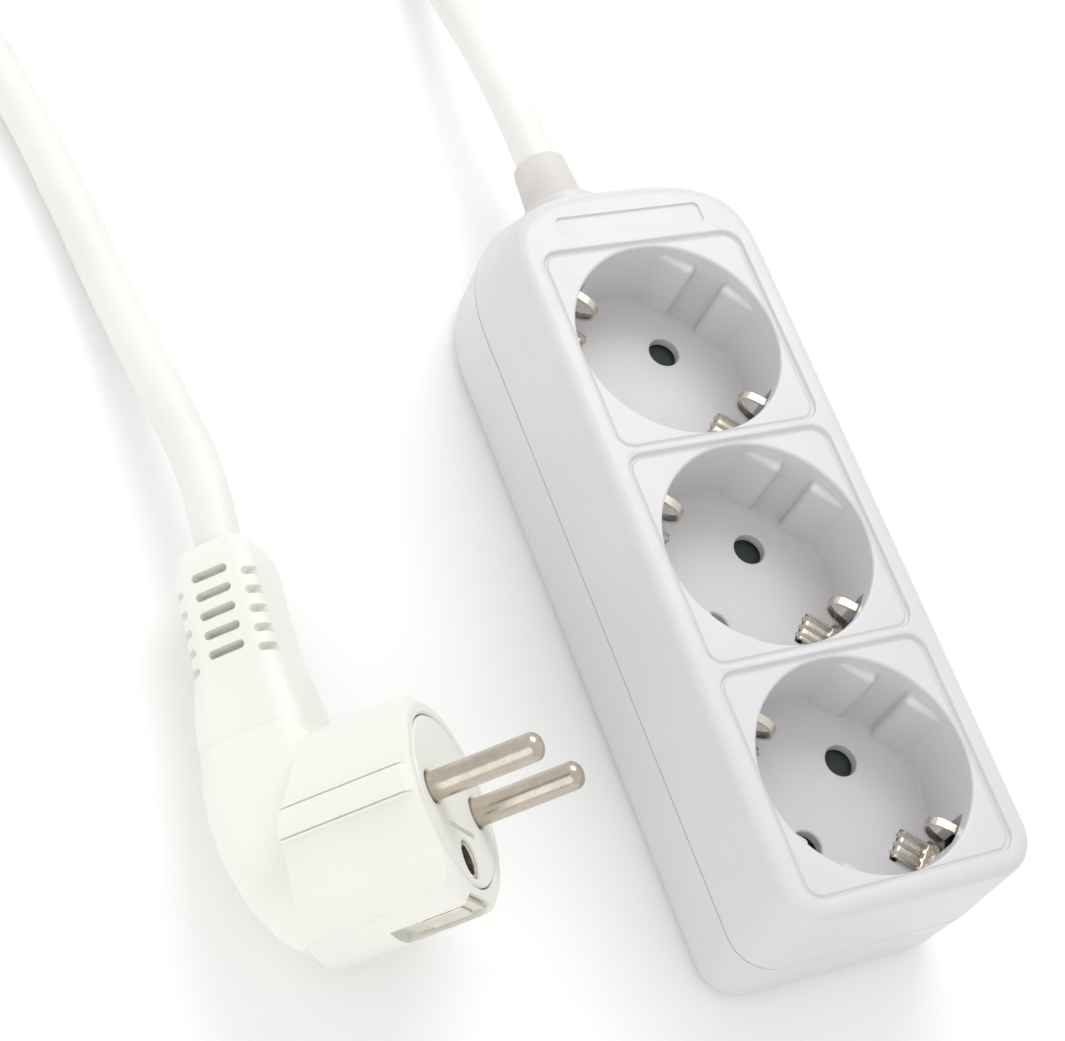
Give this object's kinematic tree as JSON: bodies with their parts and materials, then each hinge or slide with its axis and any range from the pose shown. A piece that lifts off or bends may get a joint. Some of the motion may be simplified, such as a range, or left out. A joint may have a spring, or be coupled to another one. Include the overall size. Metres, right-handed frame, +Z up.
{
  "type": "power strip",
  "caption": "White mains power strip with a row of recessed earthed sockets, a moulded right-angle plug and a white lead with its spare length coiled.",
  "frame": {"origin": "centre of the strip's underside, on the surface it stands on, midway between its near end and the tip of its cord gland", "axes": "+Y along the strip towards the lead, +Z up out of the sockets, +X to the right when looking along +Y"},
  "size_m": [0.135, 0.3538, 0.0508],
  "materials": {
    "shell": "white moulded plastic, gloss",
    "shutter": "dark green-grey plastic",
    "brass": "stamped brass",
    "nickel": "nickel-plated, bright",
    "steel": "zinc-plated steel",
    "sheath": "white PVC sheath, satin",
    "gland": "beige-grey soft PVC",
    "plug": "off-white PVC",
    "live": "brown PVC insulation",
    "neutral": "blue PVC insulation",
    "earth": "green and yellow PVC insulation",
    "tie": "black strap"
  },
  "bodies": {
    "strip": {"top_cover": "shell", "bottom_shell": "shell", "cord_clamp": "shell", "live_bar": "brass", "neutral_bar": "brass", "earth_bar": "brass", "shutter_spring_1": "steel", "shutter_spring_2": "steel", "shutter_spring_3": "steel", "housing_screw_1": "steel", "housing_screw_2": "steel", "housing_screw_3": "steel", "housing_screw_4": "steel", "housing_screw_5": "steel", "housing_screw_6": "steel", "clamp_screw_1": "steel", "clamp_screw_2": "steel", "cord_gland": "gland", "cord_tail": "sheath", "cord_strip_lead": "sheath", "cord_coil": "sheath", "cord_plug_lead": "sheath", "cord_tie": "tie", "live_wire": "live", "plug_live_wire": "live", "neutral_wire": "neutral", "plug_neutral_wire": "neutral", "earth_wire": "earth", "plug_earth_wire": "earth", "plug_body": "plug", "plug_boot": "plug", "pin_carrier": "plug", "plug_pin_live": "nickel", "plug_pin_neutral": "nickel", "plug_earth_frame": "nickel", "plug_earth_sleeve": "nickel"},
    "shutter_1": {"shutter_1": "shutter"},
    "shutter_2": {"shutter_2": "shutter"},
    "shutter_3": {"shutter_3": "shutter"},
    "earth_clip_1_left": {"earth_clip_1_left": "nickel"},
    "earth_clip_1_right": {"earth_clip_1_right": "nickel"},
    "earth_clip_2_left": {"earth_clip_2_left": "nickel"},
    "earth_clip_2_right": {"earth_clip_2_right": "nickel"},
    "earth_clip_3_left": {"earth_clip_3_left": "nickel"},
    "earth_clip_3_right": {"earth_clip_3_right": "nickel"}
  },
  "joints": [
    {"name": "shutter_1_turn", "type": "hinge", "parent": "strip", "child": "shutter_1", "pos_m": [0, 0.02776, 0.0184], "axis": [0, 0, 1], "range_deg": [0, 40], "stiffness_Nm_per_rad": 0.004},
    {"name": "shutter_2_turn", "type": "hinge", "parent": "strip", "child": "shutter_2", "pos_m": [0, -0.0146, 0.0184], "axis": [0, 0, 1], "range_deg": [0, 40], "stiffness_Nm_per_rad": 0.004},
    {"name": "shutter_3_turn", "type": "hinge", "parent": "strip", "child": "shutter_3", "pos_m": [0, -0.05696, 0.0184], "axis": [0, 0, 1], "range_deg": [0, 40], "stiffness_Nm_per_rad": 0.004},
    {"name": "earth_clip_1_left_flex", "type": "hinge", "parent": "strip", "child": "earth_clip_1_left", "pos_m": [-0.01195, 0.03971, 0.0155], "axis": [-0.7071, -0.7071, 0], "range_deg": [0, 4.5], "stiffness_Nm_per_rad": 1},
    {"name": "earth_clip_1_right_flex", "type": "hinge", "parent": "strip", "child": "earth_clip_1_right", "pos_m": [0.01195, 0.01581, 0.0155], "axis": [0.7071, 0.7071, 0], "range_deg": [0, 4.5], "stiffness_Nm_per_rad": 1},
    {"name": "earth_clip_2_left_flex", "type": "hinge", "parent": "strip", "child": "earth_clip_2_left", "pos_m": [-0.01195, -0.00265, 0.0155], "axis": [-0.7071, -0.7071, 0], "range_deg": [0, 4.5], "stiffness_Nm_per_rad": 1},
    {"name": "earth_clip_2_right_flex", "type": "hinge", "parent": "strip", "child": "earth_clip_2_right", "pos_m": [0.01195, -0.02655, 0.0155], "axis": [0.7071, 0.7071, 0], "range_deg": [0, 4.5], "stiffness_Nm_per_rad": 1},
    {"name": "earth_clip_3_left_flex", "type": "hinge", "parent": "strip", "child": "earth_clip_3_left", "pos_m": [-0.01195, -0.04501, 0.0155], "axis": [-0.7071, -0.7071, 0], "range_deg": [0, 4.5], "stiffness_Nm_per_rad": 1},
    {"name": "earth_clip_3_right_flex", "type": "hinge", "parent": "strip", "child": "earth_clip_3_right", "pos_m": [0.01195, -0.06891, 0.0155], "axis": [0.7071, 0.7071, 0], "range_deg": [0, 4.5], "stiffness_Nm_per_rad": 1}
  ]
}
